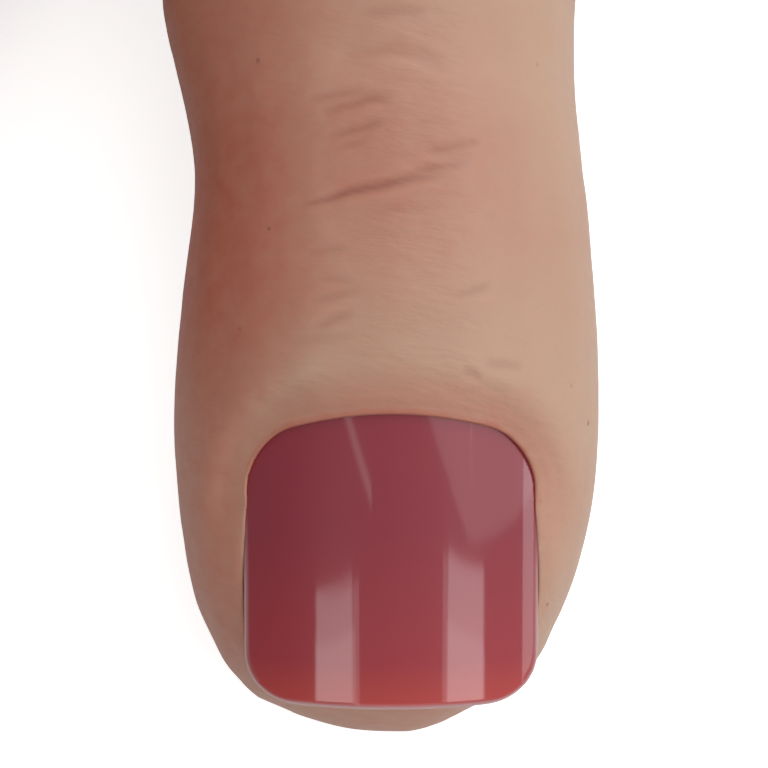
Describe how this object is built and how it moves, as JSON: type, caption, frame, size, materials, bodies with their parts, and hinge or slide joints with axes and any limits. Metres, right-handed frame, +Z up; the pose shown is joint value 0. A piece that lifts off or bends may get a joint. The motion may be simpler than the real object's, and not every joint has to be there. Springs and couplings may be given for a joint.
{
  "type": "nail practice foot",
  "caption": "Life-size silicone practice foot with hinged toes that lift and glossy nails that slide out of their slots, cut flat at the ankle.",
  "frame": {"origin": "the middle of the foot's box at the level of the sole, which rests on the surface", "axes": "+Y from the toes to the heel along the foot, +X towards the big toe's side, +Z up"},
  "size_m": [0.1024, 0.2398, 0.116],
  "materials": {
    "silicone_skin": "soft satin silicone, redder over the knuckles and paler at the inner side",
    "nail_gloss": "high-gloss wine red, redder towards the free edge",
    "bone_plastic": "matt off-white",
    "core_plastic": "matt off-white",
    "cap_plastic": "matt, moulded in a skin tone",
    "steel": "bright zinc"
  },
  "bodies": {
    "foot": {"foot_skin": "silicone_skin", "foot_core": "core_plastic", "ankle_cap": "cap_plastic", "ankle_screw_1": "steel", "ankle_screw_2": "steel", "ankle_screw_3": "steel", "big_toe_root_skin": "silicone_skin", "big_toe_base_pin": "steel", "second_toe_root_skin": "silicone_skin", "second_toe_base_pin": "steel", "third_toe_root_skin": "silicone_skin", "third_toe_base_pin": "steel", "fourth_toe_root_skin": "silicone_skin", "fourth_toe_base_pin": "steel", "little_toe_root_skin": "silicone_skin", "little_toe_base_pin": "steel"},
    "big_toe_base": {"big_toe_base_skin": "silicone_skin", "big_toe_knuckle_skin": "silicone_skin", "big_toe_base_bone": "bone_plastic", "big_toe_tip_pin": "steel"},
    "big_toe_tip": {"big_toe_tip_skin": "silicone_skin", "big_toe_tip_bone": "bone_plastic"},
    "big_toe_nail": {"big_toe_nail": "nail_gloss"},
    "second_toe_base": {"second_toe_base_skin": "silicone_skin", "second_toe_knuckle_skin": "silicone_skin", "second_toe_base_bone": "bone_plastic", "second_toe_tip_pin": "steel"},
    "second_toe_tip": {"second_toe_tip_skin": "silicone_skin", "second_toe_tip_bone": "bone_plastic"},
    "second_toe_nail": {"second_toe_nail": "nail_gloss"},
    "third_toe_base": {"third_toe_base_skin": "silicone_skin", "third_toe_knuckle_skin": "silicone_skin", "third_toe_base_bone": "bone_plastic", "third_toe_tip_pin": "steel"},
    "third_toe_tip": {"third_toe_tip_skin": "silicone_skin", "third_toe_tip_bone": "bone_plastic"},
    "third_toe_nail": {"third_toe_nail": "nail_gloss"},
    "fourth_toe_base": {"fourth_toe_base_skin": "silicone_skin", "fourth_toe_knuckle_skin": "silicone_skin", "fourth_toe_base_bone": "bone_plastic", "fourth_toe_tip_pin": "steel"},
    "fourth_toe_tip": {"fourth_toe_tip_skin": "silicone_skin", "fourth_toe_tip_bone": "bone_plastic"},
    "fourth_toe_nail": {"fourth_toe_nail": "nail_gloss"},
    "little_toe_base": {"little_toe_base_skin": "silicone_skin", "little_toe_knuckle_skin": "silicone_skin", "little_toe_base_bone": "bone_plastic", "little_toe_tip_pin": "steel"},
    "little_toe_tip": {"little_toe_tip_skin": "silicone_skin", "little_toe_tip_bone": "bone_plastic"},
    "little_toe_nail": {"little_toe_nail": "nail_gloss"}
  },
  "joints": [
    {"name": "big_toe_base_bend", "type": "hinge", "parent": "foot", "child": "big_toe_base", "pos_m": [0.03346, -0.06857, 0.015], "axis": [-0.9903, -0.1392, 0], "range_deg": [0, 30], "deforming": ["big_toe_root_skin"]},
    {"name": "big_toe_tip_bend", "type": "hinge", "parent": "big_toe_base", "child": "big_toe_tip", "pos_m": [0.03665, -0.09126, 0.0125], "axis": [-0.9903, -0.1392, 0], "range_deg": [0, 25], "deforming": ["big_toe_knuckle_skin"]},
    {"name": "big_toe_nail_pull", "type": "slide", "parent": "big_toe_tip", "child": "big_toe_nail", "axis": [0.135, -0.9609, -0.2419], "range_m": [0, 0.02]},
    {"name": "second_toe_base_bend", "type": "hinge", "parent": "foot", "child": "second_toe_base", "pos_m": [0.00576, -0.07157, 0.014], "axis": [-0.9781, 0.2079, 0], "range_deg": [0, 30], "deforming": ["second_toe_root_skin"]},
    {"name": "second_toe_tip_bend", "type": "hinge", "parent": "second_toe_base", "child": "second_toe_tip", "pos_m": [0.00271, -0.08595, 0.0132], "axis": [-0.9781, 0.2079, 0], "range_deg": [0, 25], "deforming": ["second_toe_knuckle_skin"]},
    {"name": "second_toe_nail_pull", "type": "slide", "parent": "second_toe_tip", "child": "second_toe_nail", "axis": [-0.1899, -0.8936, -0.4067], "range_m": [0, 0.011]},
    {"name": "third_toe_base_bend", "type": "hinge", "parent": "foot", "child": "third_toe_base", "pos_m": [-0.00884, -0.06506, 0.013], "axis": [-0.9563, 0.2924, 0], "range_deg": [0, 30], "deforming": ["third_toe_root_skin"]},
    {"name": "third_toe_tip_bend", "type": "hinge", "parent": "third_toe_base", "child": "third_toe_tip", "pos_m": [-0.01255, -0.07722, 0.0122], "axis": [-0.9563, 0.2924, 0], "range_deg": [0, 25], "deforming": ["third_toe_knuckle_skin"]},
    {"name": "third_toe_nail_pull", "type": "slide", "parent": "third_toe_tip", "child": "third_toe_nail", "axis": [-0.265, -0.8667, -0.4226], "range_m": [0, 0.01]},
    {"name": "fourth_toe_base_bend", "type": "hinge", "parent": "foot", "child": "fourth_toe_base", "pos_m": [-0.02184, -0.05507, 0.012], "axis": [-0.9205, 0.3907, 0], "range_deg": [0, 30], "deforming": ["fourth_toe_root_skin"]},
    {"name": "fourth_toe_tip_bend", "type": "hinge", "parent": "fourth_toe_base", "child": "fourth_toe_tip", "pos_m": [-0.02616, -0.06526, 0.0112], "axis": [-0.9205, 0.3907, 0], "range_deg": [0, 25], "deforming": ["fourth_toe_knuckle_skin"]},
    {"name": "fourth_toe_nail_pull", "type": "slide", "parent": "fourth_toe_tip", "child": "fourth_toe_nail", "axis": [-0.3512, -0.8273, -0.4384], "range_m": [0, 0.009]},
    {"name": "little_toe_base_bend", "type": "hinge", "parent": "foot", "child": "little_toe_base", "pos_m": [-0.03463, -0.04207, 0.0108], "axis": [-0.866, 0.5, 0], "range_deg": [0, 30], "deforming": ["little_toe_root_skin"]},
    {"name": "little_toe_tip_bend", "type": "hinge", "parent": "little_toe_base", "child": "little_toe_tip", "pos_m": [-0.03926, -0.05008, 0.0102], "axis": [-0.866, 0.5, 0], "range_deg": [0, 25], "deforming": ["little_toe_knuckle_skin"]},
    {"name": "little_toe_nail_pull", "type": "slide", "parent": "little_toe_tip", "child": "little_toe_nail", "axis": [-0.4455, -0.7716, -0.454], "range_m": [0, 0.008]}
  ]
}
